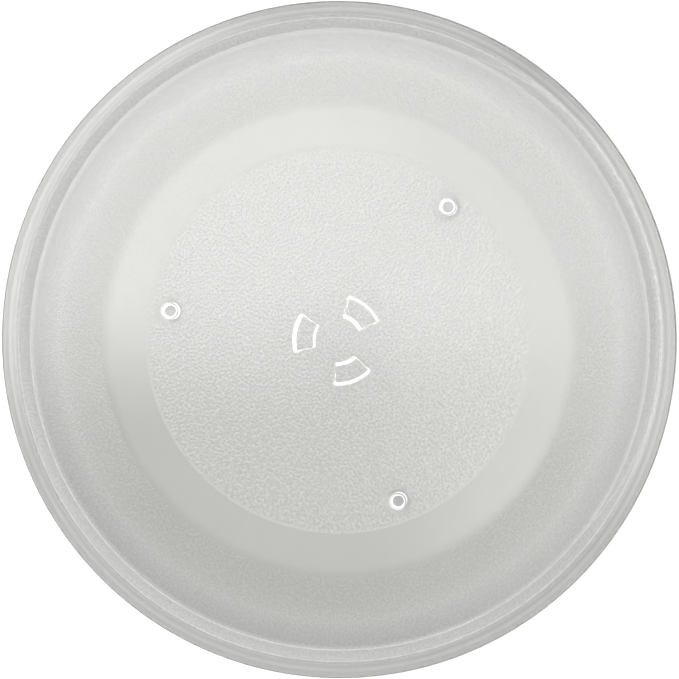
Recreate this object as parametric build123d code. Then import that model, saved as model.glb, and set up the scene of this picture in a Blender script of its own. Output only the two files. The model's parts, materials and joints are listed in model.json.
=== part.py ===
from build123d import *
import os
from math import cos, radians, sin, tan

# Turntable plate of a microwave oven, pressed in one piece of clear glass.
# Millimetres, +Z up. The origin lies on the plate's axis, in the plane that its three feet stand on.
# The first drive lug and the first foot lie on +X, and the others follow at equal turns.

# Glass
PLATE_DIAMETER = 358.8      # across the rim, 14 1/8 in
FLOOR_THICKNESS = 5.0       # over the roller track and under the apron
RIM_THICKNESS = 4.6         # in the wall and the lip

# Rim and dish, as widths measured inwards from the outer edge
LIP_WIDTH = 8.8             # outer edge to the corner where the lip meets the wall
WALL_WIDTH = 5.4            # that corner to the crease at the foot of the wall
APRON_WIDTH = 38.2          # crease to the edge of the flat floor
LIP_SLOPE = 12.0            # degrees above level
WALL_SLOPE = 46.0
APRON_SLOPE = 1.2
LIP_BEND = 1.2              # radius on top where the wall turns into the lip
CREASE_BEND = 0.8           # radius on top at the foot of the wall
HEEL_BEND = 6.0             # radius underneath at the foot of the wall
APRON_BEND = 130.0          # radius from the flat floor into the apron

# Outer edge of the lip
BEVEL_WIDTH = 2.8           # bevel under the edge, measured inwards
BEVEL_SLOPE = 45.0          # degrees above level
EDGE_BEND = 0.8             # radius on top of the edge

# Roller track, the smooth ring under the flat floor
TRACK_WIDTH = 23.5          # inwards from the edge of the flat floor
TRACK_STEP = 0.4            # how far the track stands below the middle of the plate
TRACK_SHOULDER = 1.5        # width of the slope between them

# Feet
FOOT_COUNT = 3
FOOT_DROP = 8.0             # roller track down to the plane of the feet
FOOT_TIP_RADIUS = 3.0       # flat tip
FOOT_TIP_CHAMFER = 0.5
FOOT_DRAFT = 15.0           # degrees from upright
FOOT_FLARE_HEIGHT = 3.6     # flare between a foot and the underside, an ellipse
FOOT_FLARE_WIDTH = 3.8
FOOT_FLARE_LANDING = 8.0    # degrees at which the flare runs into the underside
FOOT_TRACK_CLEARANCE = 2.0  # flare's edge to the track's shoulder

# Drive lugs, which drop between the wings of the oven's coupling
LUG_COUNT = 3
LUG_HUB_RADIUS = 12.0       # round space that the lugs leave for the coupling's hub
LUG_DEPTH = 12.4            # along the radius
LUG_SPAN = 53.0             # degrees of turn
LUG_LIFT = 1.0              # lug tips above the plane of the feet
LUG_ARC_DRAFT = 12.0        # degrees from upright, on the two round faces
LUG_SIDE_DRAFT = 4.0        # degrees from upright, on the two flat faces
LUG_CORNER_BEND = 1.2       # radius between the round and the flat faces
LUG_TIP_CHAMFER = 0.5
LUG_ROOT_CHAMFER = 0.9

# Levels
TRACK_LEVEL = FOOT_DROP
MIDDLE_LEVEL = TRACK_LEVEL + TRACK_STEP
FLOOR_LEVEL = TRACK_LEVEL + FLOOR_THICKNESS

# Radii
EDGE_RADIUS = PLATE_DIAMETER / 2
FLAT_FLOOR_RADIUS = EDGE_RADIUS - LIP_WIDTH - WALL_WIDTH - APRON_WIDTH
TRACK_RADIUS = FLAT_FLOOR_RADIUS - TRACK_WIDTH
MIDDLE_RADIUS = TRACK_RADIUS - TRACK_SHOULDER
LUG_RADIUS = LUG_HUB_RADIUS + LUG_DEPTH

LEVEL_SLACK = 0.01          # for picking edges that lie in one level plane


def step_along(point, width, slope):
    """The point that lies a width further out, up the slope."""
    return (point[0] + width, point[1] + width * tan(radians(slope)))


def corner_below(corner, slope_in, slope_out, glass_in, glass_out):
    """The underside's corner below a corner of the dish, from the glass thickness on its two sides."""
    turn = sin(radians(slope_out - slope_in))
    run = glass_out * cos(radians(slope_in)) - glass_in * cos(radians(slope_out))
    rise = glass_out * sin(radians(slope_in)) - glass_in * sin(radians(slope_out))
    return (corner[0] + run / turn, corner[1] + rise / turn)


def lip_edge(lip, lip_below):
    """Corners of the lip's outer edge: the bevel's start, the bevel's top and the edge's top."""
    bevel_start = step_along(lip_below, EDGE_RADIUS - BEVEL_WIDTH - lip_below[0], LIP_SLOPE)
    bevel_top = step_along(bevel_start, BEVEL_WIDTH, BEVEL_SLOPE)
    return bevel_start, bevel_top, step_along(lip, LIP_WIDTH, LIP_SLOPE)


def plate_section():
    """Half section of the plate: the roller track below, a bevelled lip and the dish on top."""
    floor, rim = FLOOR_THICKNESS, RIM_THICKNESS
    apron = (FLAT_FLOOR_RADIUS, FLOOR_LEVEL)
    crease = step_along(apron, APRON_WIDTH, APRON_SLOPE)
    lip = step_along(crease, WALL_WIDTH, WALL_SLOPE)
    lip_below = corner_below(lip, WALL_SLOPE, LIP_SLOPE, rim, rim)
    bevel_start, bevel_top, edge_top = lip_edge(lip, lip_below)
    corners_and_bends = [
        ((0, MIDDLE_LEVEL), 0),
        ((MIDDLE_RADIUS, MIDDLE_LEVEL), 0),
        ((TRACK_RADIUS, TRACK_LEVEL), 0),
        (corner_below(apron, 0, APRON_SLOPE, floor, floor), APRON_BEND + floor),
        (corner_below(crease, APRON_SLOPE, WALL_SLOPE, floor, rim), HEEL_BEND),
        (lip_below, 0),
        (bevel_start, 0),
        (bevel_top, 0),
        (edge_top, EDGE_BEND),
        (lip, LIP_BEND),
        (crease, CREASE_BEND),
        (apron, APRON_BEND),
        ((0, FLOOR_LEVEL), 0),
    ]
    corners = [corner for corner, bend in corners_and_bends]
    bends = [bend for corner, bend in corners_and_bends]
    with BuildSketch(Plane.XZ) as section:
        with BuildLine():
            FilletPolyline(*corners, radius=bends[1:-1])
            Line(corners[-1], corners[0])
        make_face()
    return section.sketch


def drive_lug():
    """One drive lug: a wedge cut from a ring that tapers downwards from the underside, on +X."""
    arc_inset = (MIDDLE_LEVEL - LUG_LIFT) * tan(radians(LUG_ARC_DRAFT))
    wedge_radius = 2 * LUG_RADIUS
    wedge_corner = (wedge_radius * cos(radians(LUG_SPAN / 2)), wedge_radius * sin(radians(LUG_SPAN / 2)))
    with BuildPart() as lug:
        with BuildSketch(Plane.XZ):
            Polygon(
                (LUG_HUB_RADIUS, MIDDLE_LEVEL),
                (LUG_HUB_RADIUS + arc_inset, LUG_LIFT),
                (LUG_RADIUS - arc_inset, LUG_LIFT),
                (LUG_RADIUS, MIDDLE_LEVEL),
                align=None,
            )
        revolve(axis=Axis.Z)
        with BuildSketch(Plane.XY.offset(MIDDLE_LEVEL)):
            Polygon((0, 0), (wedge_corner[0], -wedge_corner[1]), wedge_corner, align=None)
        extrude(amount=LUG_LIFT - MIDDLE_LEVEL, taper=LUG_SIDE_DRAFT, mode=Mode.INTERSECT)
        corners = lug.edges().filter_by_position(Axis.Z, LUG_LIFT, MIDDLE_LEVEL, inclusive=(False, False))
        fillet(corners, LUG_CORNER_BEND)
        chamfer(lug.faces().sort_by(Axis.Z)[0].edges(), LUG_TIP_CHAMFER)
    return lug.part


def foot():
    """One foot: a tapered peg under the plate whose top flares into the underside, on +X."""
    flare_top = radians(90 + FOOT_FLARE_LANDING)
    flare_foot = radians(180 - FOOT_DRAFT)
    side_foot = (FOOT_TIP_RADIUS + FOOT_TIP_CHAMFER, FOOT_TIP_CHAMFER)
    centre_level = MIDDLE_LEVEL - FOOT_FLARE_HEIGHT * sin(flare_top)
    side_top_level = centre_level + FOOT_FLARE_HEIGHT * sin(flare_foot)
    side_top = (side_foot[0] + (side_top_level - side_foot[1]) * tan(radians(FOOT_DRAFT)), side_top_level)
    centre = (side_top[0] - FOOT_FLARE_WIDTH * cos(flare_foot), centre_level)
    reach = centre[0] + FOOT_FLARE_WIDTH * cos(flare_top)
    inside_glass = MIDDLE_LEVEL + FLOOR_THICKNESS / 2
    with BuildSketch(Plane.XZ) as section:
        with BuildLine():
            Polyline((0, inside_glass), (0, 0), (FOOT_TIP_RADIUS, 0), side_foot, side_top)
            flare = EllipticalCenterArc(
                centre,
                FOOT_FLARE_WIDTH,
                FOOT_FLARE_HEIGHT,
                start_angle=180 - FOOT_DRAFT,
                arc_size=FOOT_DRAFT + FOOT_FLARE_LANDING - 90,
            )
            Polyline(flare @ 1, (reach, inside_glass), (0, inside_glass))
        make_face()
    peg = revolve(section.sketch, Axis.Z)
    return Pos(MIDDLE_RADIUS - FOOT_TRACK_CLEARANCE - reach, 0, 0) * peg


def around_axis(piece, count):
    """Copies of a piece at equal turns about the plate's axis."""
    return [Rot(0, 0, 360 * turn / count) * piece for turn in range(count)]


def roots_within(plate, reach):
    """Edges in the plane of the plate's middle underside that lie within a reach of the axis."""
    level = plate.edges().filter_by_position(Axis.Z, MIDDLE_LEVEL - LEVEL_SLACK, MIDDLE_LEVEL + LEVEL_SLACK)
    return level.filter_by(lambda edge: Vector(edge.center().X, edge.center().Y).length < reach)


def glass_plate():
    """The whole plate: the revolved dish with its feet, and its lugs blended into the underside."""
    plate = revolve(plate_section(), Axis.Z)
    plate += around_axis(foot(), FOOT_COUNT)
    plate += around_axis(drive_lug(), LUG_COUNT)
    return chamfer(roots_within(plate, LUG_RADIUS + LUG_ROOT_CHAMFER), LUG_ROOT_CHAMFER)


os.makedirs("parts", exist_ok=True)
export_step(glass_plate(), "parts/glass_plate.step")
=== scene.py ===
import json
from math import asin, ceil, cos, pi, radians, sin, tan

import bmesh
import bpy
from mathutils import Matrix, Vector

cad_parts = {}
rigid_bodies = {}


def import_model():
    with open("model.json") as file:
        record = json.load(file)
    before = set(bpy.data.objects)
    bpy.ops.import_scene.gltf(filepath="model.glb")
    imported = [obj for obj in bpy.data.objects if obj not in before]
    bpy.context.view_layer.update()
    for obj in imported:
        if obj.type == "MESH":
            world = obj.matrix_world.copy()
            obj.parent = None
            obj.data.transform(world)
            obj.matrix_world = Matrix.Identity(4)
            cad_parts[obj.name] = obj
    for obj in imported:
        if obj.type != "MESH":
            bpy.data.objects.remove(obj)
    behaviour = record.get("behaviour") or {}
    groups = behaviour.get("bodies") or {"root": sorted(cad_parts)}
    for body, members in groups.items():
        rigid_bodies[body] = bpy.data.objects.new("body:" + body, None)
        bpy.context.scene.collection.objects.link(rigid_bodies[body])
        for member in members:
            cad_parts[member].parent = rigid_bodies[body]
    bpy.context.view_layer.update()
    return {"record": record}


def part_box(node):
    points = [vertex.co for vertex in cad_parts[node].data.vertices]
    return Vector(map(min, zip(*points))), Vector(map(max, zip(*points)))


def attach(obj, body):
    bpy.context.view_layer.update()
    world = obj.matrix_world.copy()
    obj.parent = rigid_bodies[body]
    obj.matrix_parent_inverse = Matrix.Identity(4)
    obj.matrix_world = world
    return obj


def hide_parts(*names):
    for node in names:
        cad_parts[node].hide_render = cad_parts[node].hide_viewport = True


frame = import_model()

# A microwave oven's turntable plate, pressed in clear glass, seen from above on a pale floor.
# Metres, +Z up, the plate's axis on Z and its feet on the floor at z = 0.

MM = 0.001

# Places that the frame gives
MOUNTS = {mount["name"]: Vector(mount["pos_m"]) for mount in frame["record"]["mounts"]}
FOOT_CIRCLE = MOUNTS["foot_tip"].x
FLOOR_LEVEL = MOUNTS["cooking_floor"].z
TRACK_LEVEL = MOUNTS["roller_track"].z
MIDDLE_LEVEL = MOUNTS["drive_lugs"].z
BOX_LOW, BOX_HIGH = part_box("glass_plate")
EDGE_RADIUS = min(BOX_HIGH.x - BOX_LOW.x, BOX_HIGH.y - BOX_LOW.y) / 2

# Rim and dish, as widths measured inwards from the outer edge
LIP_WIDTH = 8.8 * MM            # outer edge to the corner where the lip meets the wall
WALL_WIDTH = 5.4 * MM           # that corner to the crease at the foot of the wall
APRON_WIDTH = 38.2 * MM         # crease to the edge of the flat floor
LIP_SLOPE = radians(12.0)
WALL_SLOPE = radians(46.0)
APRON_SLOPE = radians(1.2)
LIP_BEND = 1.2 * MM             # radius on top where the wall turns into the lip
UNDERCUT_BEND = 0.4 * MM        # radius underneath, below that
CREASE_BEND = 0.8 * MM          # radius on top at the foot of the wall
HEEL_BEND = 6.0 * MM            # radius underneath, below that
APRON_BEND = 130.0 * MM         # radius from the flat floor into the apron
FLOOR_THICKNESS = FLOOR_LEVEL - TRACK_LEVEL
RIM_THICKNESS = 4.6 * MM

# Outer edge of the lip
BEVEL_WIDTH = 2.8 * MM          # bevel under the edge, measured inwards
BEVEL_SLOPE = radians(45.0)
BEVEL_BEND = 0.4 * MM           # radius at the bevel's top
EDGE_BEND = 0.8 * MM            # radius on top of the edge

# Roller track, the smooth ring under the flat floor
TRACK_WIDTH = 23.5 * MM         # inwards from the edge of the flat floor
TRACK_SHOULDER = 1.5 * MM       # width of the slope up to the middle of the plate
SHOULDER_BEND = 1.5 * MM
FILL_MARGIN = 0.9 * MM          # ring of the middle that is spun together with the track

# Feet
FOOT_COUNT = 3
FOOT_TIP_RADIUS = 3.2 * MM
FOOT_DRAFT = radians(10.0)
FOOT_TIP_ROUND = 0.45 * MM
FOOT_FLARE_HEIGHT = 1.0 * MM    # flare between a foot and the underside
FOOT_FLARE_SLOPE = radians(20.0)
FOOT_FLARE_ROUND = 3.0 * MM     # between the flare and the underside
FOOT_NECK_ROUND = 0.4 * MM      # between a foot's side and its flare
FOOT_SKIRT = 0.4 * MM           # flat glass drawn round a foot's flare

# Drive lugs
LUG_COUNT = 3
LUG_HUB_RADIUS = 12.0 * MM      # round space that the lugs leave in the middle
LUG_DEPTH = 12.4 * MM           # along the radius
LUG_SPAN = radians(53.0)        # turn about the axis
LUG_LIFT = 1.0 * MM             # lug tips above the plane of the feet
LUG_ARC_DRAFT = radians(12.0)   # on the two round faces
LUG_SIDE_DRAFT = radians(4.0)   # on the two flat faces
LUG_CORNER_ROUND = 1.2 * MM     # between the round and the flat faces
LUG_TIP_ROUND = 0.4 * MM
LUG_ROOT_ROUND = 0.4 * MM
LUG_SKIRT = 1.6 * MM            # flat glass drawn round a lug's root

# Fineness of the mesh
PLATE_STEPS = 360
FOOT_STEPS = 96
LUG_STEPS = 24
LUG_CORNER_STEPS = 8
LUG_TIP_STEPS = 4
LUG_ROOT_STEPS = 5
BEND_STEP = radians(4.0)        # turn of one facet in a bend
SMOOTH_ANGLE = radians(30.0)    # sharper edges stay crisp
NEAR = 0.02 * MM                # closer points count as one place
LEVEL_FACING = 0.9              # upright share of a normal, from which a face counts as level
SLANT_FACING = 0.5              # and from which it counts as slanting

# Finish of the glass
GLASS_IOR = 1.5
GLASS_ROUGHNESS = 0.02
GLASS_TINT_AND_PAINTED_SHADE = [                # radius in millimetres and how pale the glass looks there: its grey tint, with painted shade that darkens it from the flat floor out to the crease and over the wall and lip, and a thin dark painted ring on the lip
    (0.0, 0.858),
    (100.0, 0.858),
    (106.0, 0.865),
    (122.0, 0.865),
    (128.0, 0.775),
    (150.0, 0.76),
    (163.0, 0.54),
    (165.4, 0.65),
    (172.0, 0.64),
    (173.4, 0.43),
    (175.0, 0.53),
    (176.4, 0.53),
    (177.6, 0.535),
    (180.0, 0.535),
]
GLASS_HUE = (1.0, 1.0, 0.988)
# The third value of each stipple paints its grains darker in the middle and lighter at the edge: painted
# light and shade for the glints and lensing of the bumps.
FLOOR_STIPPLE = {"cell": 1.4 * MM, "depth": 0.05 * MM, "painted_grain_shade": 0.21}
RIM_STIPPLE = {"cell": 1.1 * MM, "depth": 0.013 * MM, "painted_grain_shade": 0.16}
STIPPLE_RANGE = (-0.04, 0.57)   # distances from a grain's middle, in cells, over which the painted grain shade turns from darker to lighter
STIPPLE_END_WIDTH = 6.4 * MM    # end of the rim's stipple, inwards from the outer edge
WAVE_LENGTH = 26.0 * MM
WAVE_DEPTH = 0.02 * MM
WAVE_DETAIL = 1.0
WAVE_ROUGHNESS = 0.4

# Radii that follow
CREASE_RADIUS = EDGE_RADIUS - LIP_WIDTH - WALL_WIDTH
FLAT_FLOOR_RADIUS = CREASE_RADIUS - APRON_WIDTH
TRACK_RADIUS = FLAT_FLOOR_RADIUS - TRACK_WIDTH
MIDDLE_RADIUS = TRACK_RADIUS - TRACK_SHOULDER
FILL_RADIUS = MIDDLE_RADIUS - FILL_MARGIN
LUG_RADIUS = LUG_HUB_RADIUS + LUG_DEPTH
STIPPLE_END_RADIUS = EDGE_RADIUS - STIPPLE_END_WIDTH

# View, with angles in the picture counted anticlockwise from its right-hand side
OUTLINE_SHARE = 677.3 / 679     # plate's outline in the picture's width
FIRST_LUG_ANGLE = radians(50.4)
CAMERA_DISTANCE = 1.5
CAMERA_LEAN = radians(5.2)      # from upright
CAMERA_LEAN_ANGLE = radians(15.0)
CENTRING_ROUNDS = 4

# Light
FLOOR_DROP = 0.4 * MM           # floor below the plane of the feet
FLOOR_COLOUR = (0.65, 0.65, 0.65, 1.0)
FLOOR_PAINTED_GLOW = 0.5               # painted glow: extra light that the floor gives off where it is seen at a slant, though it is no lamp
FLOOR_PAINTED_GLOW_RISE = (0.105, 0.16)    # slants between which the painted glow comes
FLOOR_PAINTED_GLOW_FALL = (0.36, 0.46)     # and between which it goes
FLOOR_SIZE = 8.0
FLOOR_ROUGHNESS = 0.9
SKY_COLOUR = (1.0, 1.0, 0.99, 1.0)
SKY_MEAN = 1.75                 # what the floor gets from all of the sky
SKY_LEVELS = [                  # lean from upright in degrees, brightness
    (90.0, 0.15),
    (80.0, 0.2),
    (68.0, 4.2),
    (38.0, 4.2),
    (27.0, 0.5),
    (15.0, 0.5),
    (8.0, 1.1),
    (0.0, 1.1),
]
SKY_PATCHES = [                 # angle in the picture, lean, spread and fade in degrees, strength
    (315.0, 14.0, 5.0, 10.0, 3.6),
    (190.0, 22.0, 4.0, 9.0, 1.8),
    (255.0, 19.0, 3.0, 8.0, 1.0),
    (300.0, 3.0, 1.0, 6.0, 1.0),
]
SOFTBOX = 3.5                   # brightness of the softbox overhead
SOFTBOX_EDGES = [               # side in the picture, and where it starts and ends to fade, in degrees
    (270.0, 0.2, 3.2),
    (90.0, 7.0, 13.0),
    (0.0, -6.0, 5.0),
    (180.0, 11.0, 18.0),
]


def in_picture(angle, lean=pi / 2):
    """Direction that points to an angle of the picture, leaning from upright."""
    turn = angle - FIRST_LUG_ANGLE
    return Vector((sin(lean) * cos(turn), sin(lean) * sin(turn), cos(lean)))


# Modelling helpers


def begin_drawing(name, corner):
    """A new piece in edit mode that holds one vertex, to draw from."""
    bpy.ops.object.select_all(action="DESELECT")
    bpy.ops.mesh.primitive_plane_add(size=MM)
    piece = bpy.context.object
    piece.name = name
    piece.data.name = name
    bpy.ops.object.mode_set(mode="EDIT")
    bpy.ops.mesh.merge(type="CENTER")
    bpy.ops.transform.translate(value=corner)
    return piece


def draw_on(start, corners):
    """Draws straight edges from the selected vertex at the start through the corners, in order."""
    last = Vector(start)
    for corner in corners:
        bpy.ops.mesh.extrude_vertices_move(TRANSFORM_OT_translate={"value": corner - last})
        last = Vector(corner)


def select_where(piece, kind, test):
    """Selects the vertices, edges or faces that pass a test, and nothing else."""
    bpy.ops.mesh.select_mode(type=kind)
    bpy.ops.mesh.select_all(action="DESELECT")
    mesh = bmesh.from_edit_mesh(piece.data)
    mesh.normal_update()
    for element in {"VERT": mesh.verts, "EDGE": mesh.edges, "FACE": mesh.faces}[kind]:
        if test(element):
            element.select_set(True)
    mesh.select_flush_mode()
    bmesh.update_edit_mesh(piece.data)


def round_corner(piece, corner, reach, turn):
    """Rounds one corner of a drawn outline, from a reach before it to a reach after it."""
    select_where(piece, "VERT", lambda vertex: (vertex.co - corner).length < NEAR)
    segments = max(2, ceil(turn / BEND_STEP))
    bpy.ops.mesh.bevel(
        offset=reach,
        offset_type="OFFSET",
        segments=segments,
        affect="VERTICES",
        clamp_overlap=False,
    )


def round_edges(piece, test, reach, segments):
    """Rounds the edges that pass a test."""
    select_where(piece, "EDGE", test)
    bpy.ops.mesh.bevel(
        offset=reach,
        offset_type="OFFSET",
        segments=segments,
        affect="EDGES",
        clamp_overlap=False,
    )


def draw_section(name, axis, points):
    """Draws a half section about an upright axis. Each point is a radius, a level and a bend radius."""
    corners = [Vector((axis + radius, 0, level)) for radius, level, bend in points]
    piece = begin_drawing(name, corners[0])
    draw_on(corners[0], corners[1:])
    for before, corner, after, point in zip(corners, corners[1:], corners[2:], points[1:]):
        turn = (corner - before).angle(after - corner)
        if point[2] > 0:
            round_corner(piece, corner, point[2] * tan(turn / 2), turn)
    return piece


def spin_section(axis, steps):
    """Spins the drawn section once round its axis and closes the seam and the pole."""
    bpy.ops.mesh.select_all(action="SELECT")
    bpy.ops.mesh.spin(steps=steps, angle=2 * pi, center=(axis, 0, 0), axis=(0, 0, 1))
    bpy.ops.mesh.select_all(action="SELECT")
    bpy.ops.mesh.remove_doubles(threshold=NEAR / 10)
    bpy.ops.object.mode_set(mode="OBJECT")


def copies_round_axis(piece, count):
    """The piece and its copies at equal turns about the plate's axis, each with its own mesh."""
    pieces = [piece]
    for index in range(1, count):
        bpy.ops.object.select_all(action="DESELECT")
        piece.select_set(True)
        bpy.context.view_layer.objects.active = piece
        bpy.ops.object.duplicate()
        bpy.ops.object.mode_set(mode="EDIT")
        bpy.ops.mesh.select_all(action="SELECT")
        bpy.ops.transform.rotate(value=2 * pi * index / count, orient_axis="Z", center_override=(0, 0, 0))
        bpy.ops.object.mode_set(mode="OBJECT")
        pieces.append(bpy.context.object)
    return pieces


# The plate's forms


def step_along(point, width, slope):
    """The point that lies a width further out, up the slope."""
    return (point[0] + width, point[1] + width * tan(slope))


def corner_below(corner, slope_in, slope_out, glass_in, glass_out):
    """The underside's corner below a corner of the dish, from the glass thickness on its two sides."""
    turn = sin(slope_out - slope_in)
    run = glass_out * cos(slope_in) - glass_in * cos(slope_out)
    rise = glass_out * sin(slope_in) - glass_in * sin(slope_out)
    return (corner[0] + run / turn, corner[1] + rise / turn)


def dish_corners():
    """Corners of the dish's top, from the flat floor out to the lip."""
    apron = (FLAT_FLOOR_RADIUS, FLOOR_LEVEL)
    crease = step_along(apron, APRON_WIDTH, APRON_SLOPE)
    lip = step_along(crease, WALL_WIDTH, WALL_SLOPE)
    return apron, crease, lip


def lip_edge():
    """Corners of the lip's outer edge: the bevel's start, the bevel's top and the edge's top."""
    lip = dish_corners()[-1]
    lip_below = corner_below(lip, WALL_SLOPE, LIP_SLOPE, RIM_THICKNESS, RIM_THICKNESS)
    bevel_start = step_along(lip_below, EDGE_RADIUS - BEVEL_WIDTH - lip_below[0], LIP_SLOPE)
    bevel_top = step_along(bevel_start, BEVEL_WIDTH, BEVEL_SLOPE)
    return bevel_start, bevel_top, step_along(lip, LIP_WIDTH, LIP_SLOPE)


def plate_points():
    """Corners of the plate's half section, from the middle underside round the lip to the dish's middle."""
    floor, rim = FLOOR_THICKNESS, RIM_THICKNESS
    apron, crease, lip = dish_corners()
    bevel_start, bevel_top, edge_top = lip_edge()
    return [
        (FILL_RADIUS, MIDDLE_LEVEL, 0),
        (MIDDLE_RADIUS, MIDDLE_LEVEL, SHOULDER_BEND),
        (TRACK_RADIUS, TRACK_LEVEL, SHOULDER_BEND),
        (*corner_below(apron, 0, APRON_SLOPE, floor, floor), APRON_BEND + floor),
        (*corner_below(crease, APRON_SLOPE, WALL_SLOPE, floor, rim), HEEL_BEND),
        (*corner_below(lip, WALL_SLOPE, LIP_SLOPE, rim, rim), UNDERCUT_BEND),
        (*bevel_start, 0),
        (*bevel_top, BEVEL_BEND),
        (*edge_top, EDGE_BEND),
        (*lip, LIP_BEND),
        (*crease, CREASE_BEND),
        (*apron, APRON_BEND),
        (0, FLOOR_LEVEL, 0),
    ]


def model_dish():
    """The dish with its rim and roller track, open underneath where the feet and lugs go."""
    dish = draw_section("pressed_glass_plate", 0, plate_points())
    spin_section(0, PLATE_STEPS)
    return dish


def model_foot():
    """One foot with its flare and a flat skirt round it, on +X."""
    neck_level = MIDDLE_LEVEL - FOOT_FLARE_HEIGHT
    neck_radius = FOOT_TIP_RADIUS + neck_level * tan(FOOT_DRAFT)
    root_radius = neck_radius + FOOT_FLARE_HEIGHT / tan(FOOT_FLARE_SLOPE)
    reach = root_radius + FOOT_FLARE_ROUND * tan(FOOT_FLARE_SLOPE / 2)
    points = [
        (reach + FOOT_SKIRT, MIDDLE_LEVEL, 0),
        (root_radius, MIDDLE_LEVEL, FOOT_FLARE_ROUND),
        (neck_radius, neck_level, FOOT_NECK_ROUND),
        (FOOT_TIP_RADIUS, 0, FOOT_TIP_ROUND),
        (0, 0, 0),
    ]
    foot = draw_section("foot", FOOT_CIRCLE, points)
    spin_section(FOOT_CIRCLE, FOOT_STEPS)
    return foot


def draw_arc(centre, turn, steps):
    """Draws an arc about a centre from the selected vertex, anticlockwise for a positive turn."""
    bpy.ops.mesh.spin(steps=steps, angle=-turn, center=centre, axis=(0, 0, 1))


def draw_lug_outline(lug, inside, outside, shift, bend, level):
    """Draws a closed outline of a lug: two arcs about the axis, two sides and four round corners.

    The sides are shifted outwards from the radial lines of the lug's span.
    """
    axis = Vector((0, 0, level))

    def corner(distance, side):
        turn = side * (LUG_SPAN / 2 - asin((bend - shift) / distance))
        return axis + Vector((distance * cos(turn), distance * sin(turn), 0))

    inner, outer = inside + bend, outside - bend
    inner_turn, outer_turn = asin((bend - shift) / inner), asin((bend - shift) / outer)
    right, left = [Vector((-sin(LUG_SPAN / 2), side * cos(LUG_SPAN / 2), 0)) * bend for side in (-1, 1)]
    start = corner(inner, 1) - (corner(inner, 1) - axis).normalized() * bend
    if lug is None:
        lug = begin_drawing("lug", start)
    else:
        bpy.ops.mesh.select_mode(type="VERT")
        bpy.ops.mesh.select_all(action="DESELECT")
        bpy.ops.mesh.primitive_plane_add(size=MM, location=start)
        bpy.ops.mesh.merge(type="CENTER")
    draw_arc(axis, 2 * inner_turn - LUG_SPAN, LUG_STEPS)
    draw_arc(corner(inner, -1), pi / 2 - inner_turn, LUG_CORNER_STEPS)
    draw_on(corner(inner, -1) + right, [corner(outer, -1) + right])
    draw_arc(corner(outer, -1), pi / 2 + outer_turn, LUG_CORNER_STEPS)
    draw_arc(axis, LUG_SPAN - 2 * outer_turn, LUG_STEPS)
    draw_arc(corner(outer, 1), pi / 2 + outer_turn, LUG_CORNER_STEPS)
    draw_on(corner(outer, 1) + left, [corner(inner, 1) + left])
    draw_arc(corner(inner, 1), pi / 2 - inner_turn, LUG_CORNER_STEPS)
    bpy.ops.mesh.select_linked()
    bpy.ops.mesh.remove_doubles(threshold=NEAR)
    return lug


def at_level(edge, level):
    """Whether both ends of an edge lie at a level."""
    return all(abs(vertex.co.z - level) < NEAR for vertex in edge.verts)


def at_lug_root(edge):
    """Whether an edge lies where a lug's side meets the underside."""
    steep = any(abs(face.normal.z) < LEVEL_FACING for face in edge.link_faces)
    return steep and at_level(edge, MIDDLE_LEVEL)


def model_lug():
    """One drive lug: a sector outlined on the underside, drawn down with a draft and rounded, on +X."""
    height = MIDDLE_LEVEL - LUG_LIFT
    arc_inset, side_inset = height * tan(LUG_ARC_DRAFT), height * tan(LUG_SIDE_DRAFT)
    inside, outside, bend = LUG_HUB_RADIUS, LUG_RADIUS, LUG_CORNER_ROUND
    lug = draw_lug_outline(None, inside, outside, 0, bend, MIDDLE_LEVEL)
    draw_lug_outline(lug, inside + arc_inset, outside - arc_inset, -side_inset, bend, LUG_LIFT)
    select_where(lug, "EDGE", lambda edge: True)
    bpy.ops.mesh.bridge_edge_loops()
    draw_lug_outline(lug, inside - LUG_SKIRT, outside + LUG_SKIRT, LUG_SKIRT, bend + LUG_SKIRT, MIDDLE_LEVEL)
    select_where(lug, "EDGE", lambda edge: at_level(edge, MIDDLE_LEVEL))
    bpy.ops.mesh.bridge_edge_loops()
    select_where(lug, "EDGE", lambda edge: at_level(edge, LUG_LIFT))
    bpy.ops.mesh.edge_face_add()
    bpy.ops.mesh.select_all(action="SELECT")
    bpy.ops.mesh.normals_make_consistent(inside=False)
    round_edges(lug, lambda edge: at_level(edge, LUG_LIFT), LUG_TIP_ROUND, LUG_TIP_STEPS)
    round_edges(lug, at_lug_root, LUG_ROOT_ROUND, LUG_ROOT_STEPS)
    bpy.ops.object.mode_set(mode="OBJECT")
    return lug


def model_plate():
    """The whole plate: the dish, its feet and its lugs, with the glass between them filled in."""
    plate = model_dish()
    under = copies_round_axis(model_foot(), FOOT_COUNT) + copies_round_axis(model_lug(), LUG_COUNT)
    bpy.ops.object.select_all(action="DESELECT")
    for piece in [plate] + under:
        piece.select_set(True)
    bpy.context.view_layer.objects.active = plate
    bpy.ops.object.join()
    bpy.ops.object.mode_set(mode="EDIT")
    select_where(plate, "EDGE", lambda edge: edge.is_boundary)
    bpy.ops.mesh.fill(use_beauty=True)
    bpy.ops.mesh.select_all(action="SELECT")
    bpy.ops.mesh.remove_doubles(threshold=NEAR / 10)
    bpy.ops.mesh.normals_make_consistent(inside=False)
    bpy.ops.object.mode_set(mode="OBJECT")
    bpy.ops.object.shade_smooth_by_angle(angle=SMOOTH_ANGLE)
    bpy.ops.object.modifier_add(type="WEIGHTED_NORMAL")
    plate.modifiers[-1].keep_sharp = True
    bpy.ops.object.modifier_apply(modifier=plate.modifiers[-1].name)
    return plate


# Materials


def add_node(tree, kind, settings=None, values=None):
    """A node of a kind, with its settings and the values of its unlinked inputs."""
    node = tree.nodes.new(kind)
    for name, setting in (settings or {}).items():
        setattr(node, name, setting)
    for name, value in (values or {}).items():
        node.inputs[name].default_value = value
    return node


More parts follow.
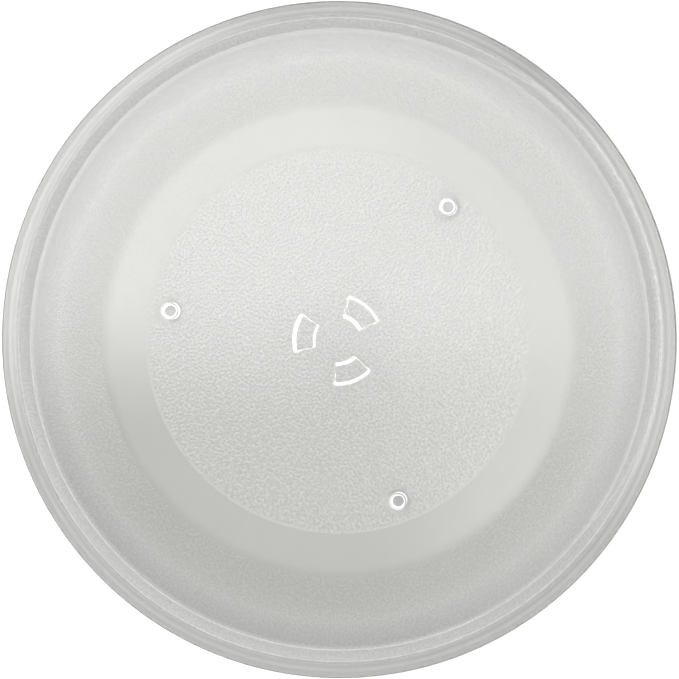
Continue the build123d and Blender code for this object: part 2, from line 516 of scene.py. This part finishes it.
def pressed_surface():
    """Shared node group: the height of the faint waves that a press leaves in glass."""
    group = bpy.data.node_groups.new("pressed_surface", "ShaderNodeTree")
    group.interface.new_socket("Wave Length", in_out="INPUT", socket_type="NodeSocketFloat")
    group.interface.new_socket("Wave Depth", in_out="INPUT", socket_type="NodeSocketFloat")
    group.interface.new_socket("Height", in_out="OUTPUT", socket_type="NodeSocketFloat")
    entry = add_node(group, "NodeGroupInput")
    place = add_node(group, "ShaderNodeTexCoord")
    rate = add_node(group, "ShaderNodeMath", {"operation": "DIVIDE"}, {0: 1.0})
    waves = add_node(group, "ShaderNodeTexNoise", None, {"Detail": WAVE_DETAIL, "Roughness": WAVE_ROUGHNESS})
    height = add_node(group, "ShaderNodeMath", {"operation": "MULTIPLY"})
    leave = add_node(group, "NodeGroupOutput")
    group.links.new(entry.outputs["Wave Length"], rate.inputs[1])
    group.links.new(rate.outputs[0], waves.inputs["Scale"])
    group.links.new(place.outputs["Object"], waves.inputs["Vector"])
    group.links.new(waves.outputs["Fac"], height.inputs[0])
    group.links.new(entry.outputs["Wave Depth"], height.inputs[1])
    group.links.new(height.outputs[0], leave.inputs["Height"])
    return group


def glass_tint_and_painted_shade():
    """Shared node group: the glass's grey tint with painted shade at each distance from the axis, times the
    stipple's painted grain shade.
    """
    group = bpy.data.node_groups.new("glass_tint_and_painted_shade", "ShaderNodeTree")
    group.interface.new_socket("Tint", in_out="INPUT", socket_type="NodeSocketFloat")
    group.interface.new_socket("Colour", in_out="OUTPUT", socket_type="NodeSocketColor")
    entry = add_node(group, "NodeGroupInput")
    place = add_node(group, "ShaderNodeTexCoord")
    level = add_node(group, "ShaderNodeVectorMath", {"operation": "MULTIPLY"})
    level.inputs[1].default_value = (1 / EDGE_RADIUS, 1 / EDGE_RADIUS, 0)
    radius = add_node(group, "ShaderNodeVectorMath", {"operation": "LENGTH"})
    radial_tint_and_shade = add_node(group, "ShaderNodeValToRGB")
    ramp = radial_tint_and_shade.color_ramp
    while len(ramp.elements) < len(GLASS_TINT_AND_PAINTED_SHADE):
        ramp.elements.new(0.5)
    for stop, (distance, pale) in zip(ramp.elements, GLASS_TINT_AND_PAINTED_SHADE):
        stop.position = min(1.0, distance * MM / EDGE_RADIUS)
        stop.color = [pale * part for part in GLASS_HUE] + [1.0]
    colour = add_node(group, "ShaderNodeVectorMath", {"operation": "SCALE"})
    leave = add_node(group, "NodeGroupOutput")
    group.links.new(place.outputs["Object"], level.inputs[0])
    group.links.new(level.outputs["Vector"], radius.inputs[0])
    group.links.new(radius.outputs["Value"], radial_tint_and_shade.inputs["Fac"])
    group.links.new(radial_tint_and_shade.outputs["Color"], colour.inputs[0])
    group.links.new(entry.outputs["Tint"], colour.inputs["Scale"])
    group.links.new(colour.outputs["Vector"], leave.inputs["Colour"])
    return group


def glass(name, waves, radial_tint_and_shade):
    """A clear glass with the press's faint waves, and the nodes to add to it. Its base colour is the grey
    tint with painted shade by radius.
    """
    material = bpy.data.materials.new(name)
    material.use_nodes = True
    tree = material.node_tree
    shader = tree.nodes["Principled BSDF"]
    shader.inputs["Roughness"].default_value = GLASS_ROUGHNESS
    shader.inputs["IOR"].default_value = GLASS_IOR
    shader.inputs["Transmission Weight"].default_value = 1.0
    pressed = add_node(tree, "ShaderNodeGroup", {"node_tree": waves})
    pressed.inputs["Wave Length"].default_value = WAVE_LENGTH
    pressed.inputs["Wave Depth"].default_value = WAVE_DEPTH
    # base colour: the glass's tint with painted shade by radius; no painted grain shade unless a stipple
    # feeds it
    depth = add_node(tree, "ShaderNodeGroup", {"node_tree": radial_tint_and_shade})
    depth.inputs["Tint"].default_value = 1.0
    bump = add_node(tree, "ShaderNodeBump", None, {"Strength": 1.0, "Distance": 1.0})
    tree.links.new(depth.outputs["Colour"], shader.inputs["Base Color"])
    tree.links.new(bump.outputs["Normal"], shader.inputs["Normal"])
    return material, tree, pressed, depth, bump


def smooth_glass(waves, radial_tint_and_shade):
    """Glass pressed against a polished mould."""
    material, tree, pressed, depth, bump = glass("smooth_glass", waves, radial_tint_and_shade)
    tree.links.new(pressed.outputs["Height"], bump.inputs["Height"])
    return material


def stippled_glass(name, stipple, waves, radial_tint_and_shade):
    """Glass pressed against a mould with a fine stipple, its grains painted darker in the middle and lighter
    at the edge: painted light and shade for the stipple's glints and lensing.
    """
    material, tree, pressed, painted_shade_node, bump = glass(name, waves, radial_tint_and_shade)
    place = add_node(tree, "ShaderNodeTexCoord")
    cells = {"feature": "SMOOTH_F1", "voronoi_dimensions": "2D"}
    grain = add_node(tree, "ShaderNodeTexVoronoi", cells, {"Scale": 1 / stipple["cell"]})
    depth = add_node(tree, "ShaderNodeMath", {"operation": "MULTIPLY"}, {1: stipple["depth"]})
    both = add_node(tree, "ShaderNodeMath", {"operation": "ADD"})
    # painted light and shade, grain by grain, which scales the base colour
    painted_grain_shade = add_node(tree, "ShaderNodeMapRange", None, {
        "From Min": STIPPLE_RANGE[0],
        "From Max": STIPPLE_RANGE[1],
        "To Min": 1 - stipple["painted_grain_shade"],
        "To Max": 1 + stipple["painted_grain_shade"],
    })
    tree.links.new(place.outputs["Object"], grain.inputs["Vector"])
    tree.links.new(grain.outputs["Distance"], painted_grain_shade.inputs["Value"])
    tree.links.new(painted_grain_shade.outputs["Result"], painted_shade_node.inputs["Tint"])
    tree.links.new(grain.outputs["Distance"], depth.inputs[0])
    tree.links.new(depth.outputs[0], both.inputs[0])
    tree.links.new(pressed.outputs["Height"], both.inputs[1])
    tree.links.new(both.outputs[0], bump.inputs["Height"])
    return material


def on_stippled_floor(face):
    """Whether a face lies on the stippled middle or on a lug's tip, on the underside."""
    middle = face.calc_center_median()
    if face.normal.z > -LEVEL_FACING or middle.xy.length > MIDDLE_RADIUS:
        return False
    return abs(middle.z - MIDDLE_LEVEL) < NEAR or abs(middle.z - LUG_LIFT) < NEAR


def on_stippled_rim(face):
    """Whether a face lies on the finely stippled underside of the apron and the wall."""
    radius = face.calc_center_median().xy.length
    return face.normal.z < -SLANT_FACING and FLAT_FLOOR_RADIUS < radius < STIPPLE_END_RADIUS


def finish_plate(plate):
    """Gives the plate its finishes: smooth, and two kinds of stipple on the underside."""
    waves, radial_tint_and_shade = pressed_surface(), glass_tint_and_painted_shade()
    plate.data.materials.append(smooth_glass(waves, radial_tint_and_shade))
    plate.data.materials.append(stippled_glass("stippled_floor", FLOOR_STIPPLE, waves, radial_tint_and_shade))
    plate.data.materials.append(stippled_glass("stippled_rim", RIM_STIPPLE, waves, radial_tint_and_shade))
    bpy.ops.object.mode_set(mode="EDIT")
    for slot, test in [(1, on_stippled_floor), (2, on_stippled_rim)]:
        select_where(plate, "FACE", test)
        plate.active_material_index = slot
        bpy.ops.object.material_slot_assign()
    bpy.ops.object.mode_set(mode="OBJECT")


# Studio


def add_floor():
    """A wide pale floor under the plate, with a painted glow where it is seen at a slant."""
    bpy.ops.object.select_all(action="DESELECT")
    bpy.ops.mesh.primitive_plane_add(size=FLOOR_SIZE, location=(0, 0, -FLOOR_DROP))
    floor = bpy.context.object
    floor.name = "studio_floor"
    paint = bpy.data.materials.new("studio_floor")
    paint.use_nodes = True
    shader = paint.node_tree.nodes["Principled BSDF"]
    shader.inputs["Base Color"].default_value = FLOOR_COLOUR
    shader.inputs["Roughness"].default_value = FLOOR_ROUGHNESS
    shader.inputs["Emission Color"].default_value = (1.0, 1.0, 1.0, 1.0)
    tree = paint.node_tree
    # painted glow: emission that grows and fades with the slant at which the floor is seen
    facing = add_node(tree, "ShaderNodeLayerWeight", None, {"Blend": 0.5})
    rise = add_node(tree, "ShaderNodeMapRange", {"interpolation_type": "SMOOTHSTEP"}, {
        "From Min": FLOOR_PAINTED_GLOW_RISE[0],
        "From Max": FLOOR_PAINTED_GLOW_RISE[1],
        "To Min": 0.0,
        "To Max": FLOOR_PAINTED_GLOW,
    })
    fall = add_node(tree, "ShaderNodeMapRange", {"interpolation_type": "SMOOTHSTEP"}, {
        "From Min": FLOOR_PAINTED_GLOW_FALL[0],
        "From Max": FLOOR_PAINTED_GLOW_FALL[1],
        "To Min": 1.0,
        "To Max": 0.0,
    })
    painted_glow = add_node(tree, "ShaderNodeMath", {"operation": "MULTIPLY"})
    tree.links.new(facing.outputs["Facing"], rise.inputs["Value"])
    tree.links.new(facing.outputs["Facing"], fall.inputs["Value"])
    tree.links.new(rise.outputs["Result"], painted_glow.inputs[0])
    tree.links.new(fall.outputs["Result"], painted_glow.inputs[1])
    tree.links.new(painted_glow.outputs[0], shader.inputs["Emission Strength"])
    floor.data.materials.append(paint)


def combine(tree, operation, first, second):
    """The sum or product of two values, each a number or another node's output."""
    node = add_node(tree, "ShaderNodeMath", {"operation": operation})
    for socket, value in zip(node.inputs, (first, second)):
        if isinstance(value, float):
            socket.default_value = value
        else:
            tree.links.new(value, socket)
    return node.outputs[0]


def sky_levels(tree, place):
    """Brightness of the sky by its lean from upright."""
    height = add_node(tree, "ShaderNodeSeparateXYZ")
    levels = add_node(tree, "ShaderNodeValToRGB")
    ramp = levels.color_ramp
    ramp.interpolation = "EASE"
    brightest = max(brightness for lean, brightness in SKY_LEVELS)
    while len(ramp.elements) < len(SKY_LEVELS):
        ramp.elements.new(0.5)
    for stop, (lean, brightness) in zip(ramp.elements, SKY_LEVELS):
        stop.position = cos(radians(lean))
        stop.color = [brightness / brightest] * 3 + [1.0]
    tree.links.new(place.outputs["Generated"], height.inputs[0])
    tree.links.new(height.outputs["Z"], levels.inputs["Fac"])
    return combine(tree, "MULTIPLY", levels.outputs["Color"], brightest)


def sky_fade(tree, place, toward, start, end, low, high):
    """A value that goes from low to high as the sky's share along a direction goes from start to end."""
    along = add_node(tree, "ShaderNodeVectorMath", {"operation": "DOT_PRODUCT"})
    along.inputs[1].default_value = toward
    fade = add_node(tree, "ShaderNodeMapRange", {"interpolation_type": "SMOOTHSTEP"}, {
        "From Min": start,
        "From Max": end,
        "To Min": low,
        "To Max": high,
    })
    tree.links.new(place.outputs["Generated"], along.inputs[0])
    tree.links.new(along.outputs["Value"], fade.inputs["Value"])
    return fade.outputs["Result"]


def sky_patch(tree, place, angle, lean, spread, fade, strength):
    """Brightness of a round patch of the sky."""
    middle = in_picture(radians(angle), radians(lean))
    return sky_fade(tree, place, middle, cos(radians(spread + fade)), cos(radians(spread)), 0.0, strength)


def softbox(tree, place):
    """Brightness of the softbox overhead, with its soft edges."""
    brightness = SOFTBOX
    for angle, start, end in SOFTBOX_EDGES:
        side = in_picture(radians(angle))
        edge = sky_fade(tree, place, side, sin(radians(start)), sin(radians(end)), 1.0, 0.0)
        brightness = combine(tree, "MULTIPLY", edge, brightness)
    return brightness


def add_light():
    """A soft sky with a softbox and patches of light, which lights the floor evenly."""
    world = bpy.data.worlds.new("studio")
    bpy.context.scene.world = world
    world.use_nodes = True
    tree = world.node_tree
    sky = tree.nodes["Background"]
    sky.inputs["Color"].default_value = SKY_COLOUR
    place = add_node(tree, "ShaderNodeTexCoord")
    total = combine(tree, "ADD", sky_levels(tree, place), softbox(tree, place))
    for patch in SKY_PATCHES:
        total = combine(tree, "ADD", sky_patch(tree, place, *patch), total)
    path = add_node(tree, "ShaderNodeLightPath")
    bounced = add_node(tree, "ShaderNodeMath", {"operation": "GREATER_THAN"}, {1: 0.5})
    strength = add_node(tree, "ShaderNodeMix", {"data_type": "FLOAT"}, {"B": SKY_MEAN})
    tree.links.new(path.outputs["Diffuse Depth"], bounced.inputs[0])
    tree.links.new(bounced.outputs[0], strength.inputs["Factor"])
    tree.links.new(total, strength.inputs["A"])
    tree.links.new(strength.outputs["Result"], sky.inputs["Strength"])


def add_camera():
    """A camera above the plate that leans a little to the right and frames the rim edge to edge."""
    back = in_picture(CAMERA_LEAN_ANGLE, CAMERA_LEAN)
    right = in_picture(pi / 2).cross(back).normalized()
    up = back.cross(right)
    bevel_top, edge_top = lip_edge()[1:]
    level = (bevel_top[1] + edge_top[1]) / 2
    turns = [radians(turn) for turn in range(360)]
    rim = [Vector((EDGE_RADIUS * cos(turn), EDGE_RADIUS * sin(turn), level)) for turn in turns]
    eye = Vector((0, 0, level)) + back * CAMERA_DISTANCE
    for attempt in range(CENTRING_ROUNDS):
        across = [(point - eye).dot(right) / (eye - point).dot(back) for point in rim]
        along = [(point - eye).dot(up) / (eye - point).dot(back) for point in rim]
        eye += (right * (min(across) + max(across)) + up * (min(along) + max(along))) / 2 * CAMERA_DISTANCE
    bpy.ops.object.camera_add()
    camera = bpy.context.object
    camera.name = "camera"
    turn = Matrix((right, up, back)).transposed().to_4x4()
    camera.matrix_world = Matrix.Translation(eye) @ turn
    width = max(max(across) - min(across), max(along) - min(along))
    camera.data.lens = camera.data.sensor_width * OUTLINE_SHARE / width
    bpy.context.scene.camera = camera


plate = model_plate()
finish_plate(plate)
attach(plate, "root")
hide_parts("glass_plate")
add_floor()
add_light()
add_camera()
bpy.context.scene.view_settings.view_transform = "Standard"
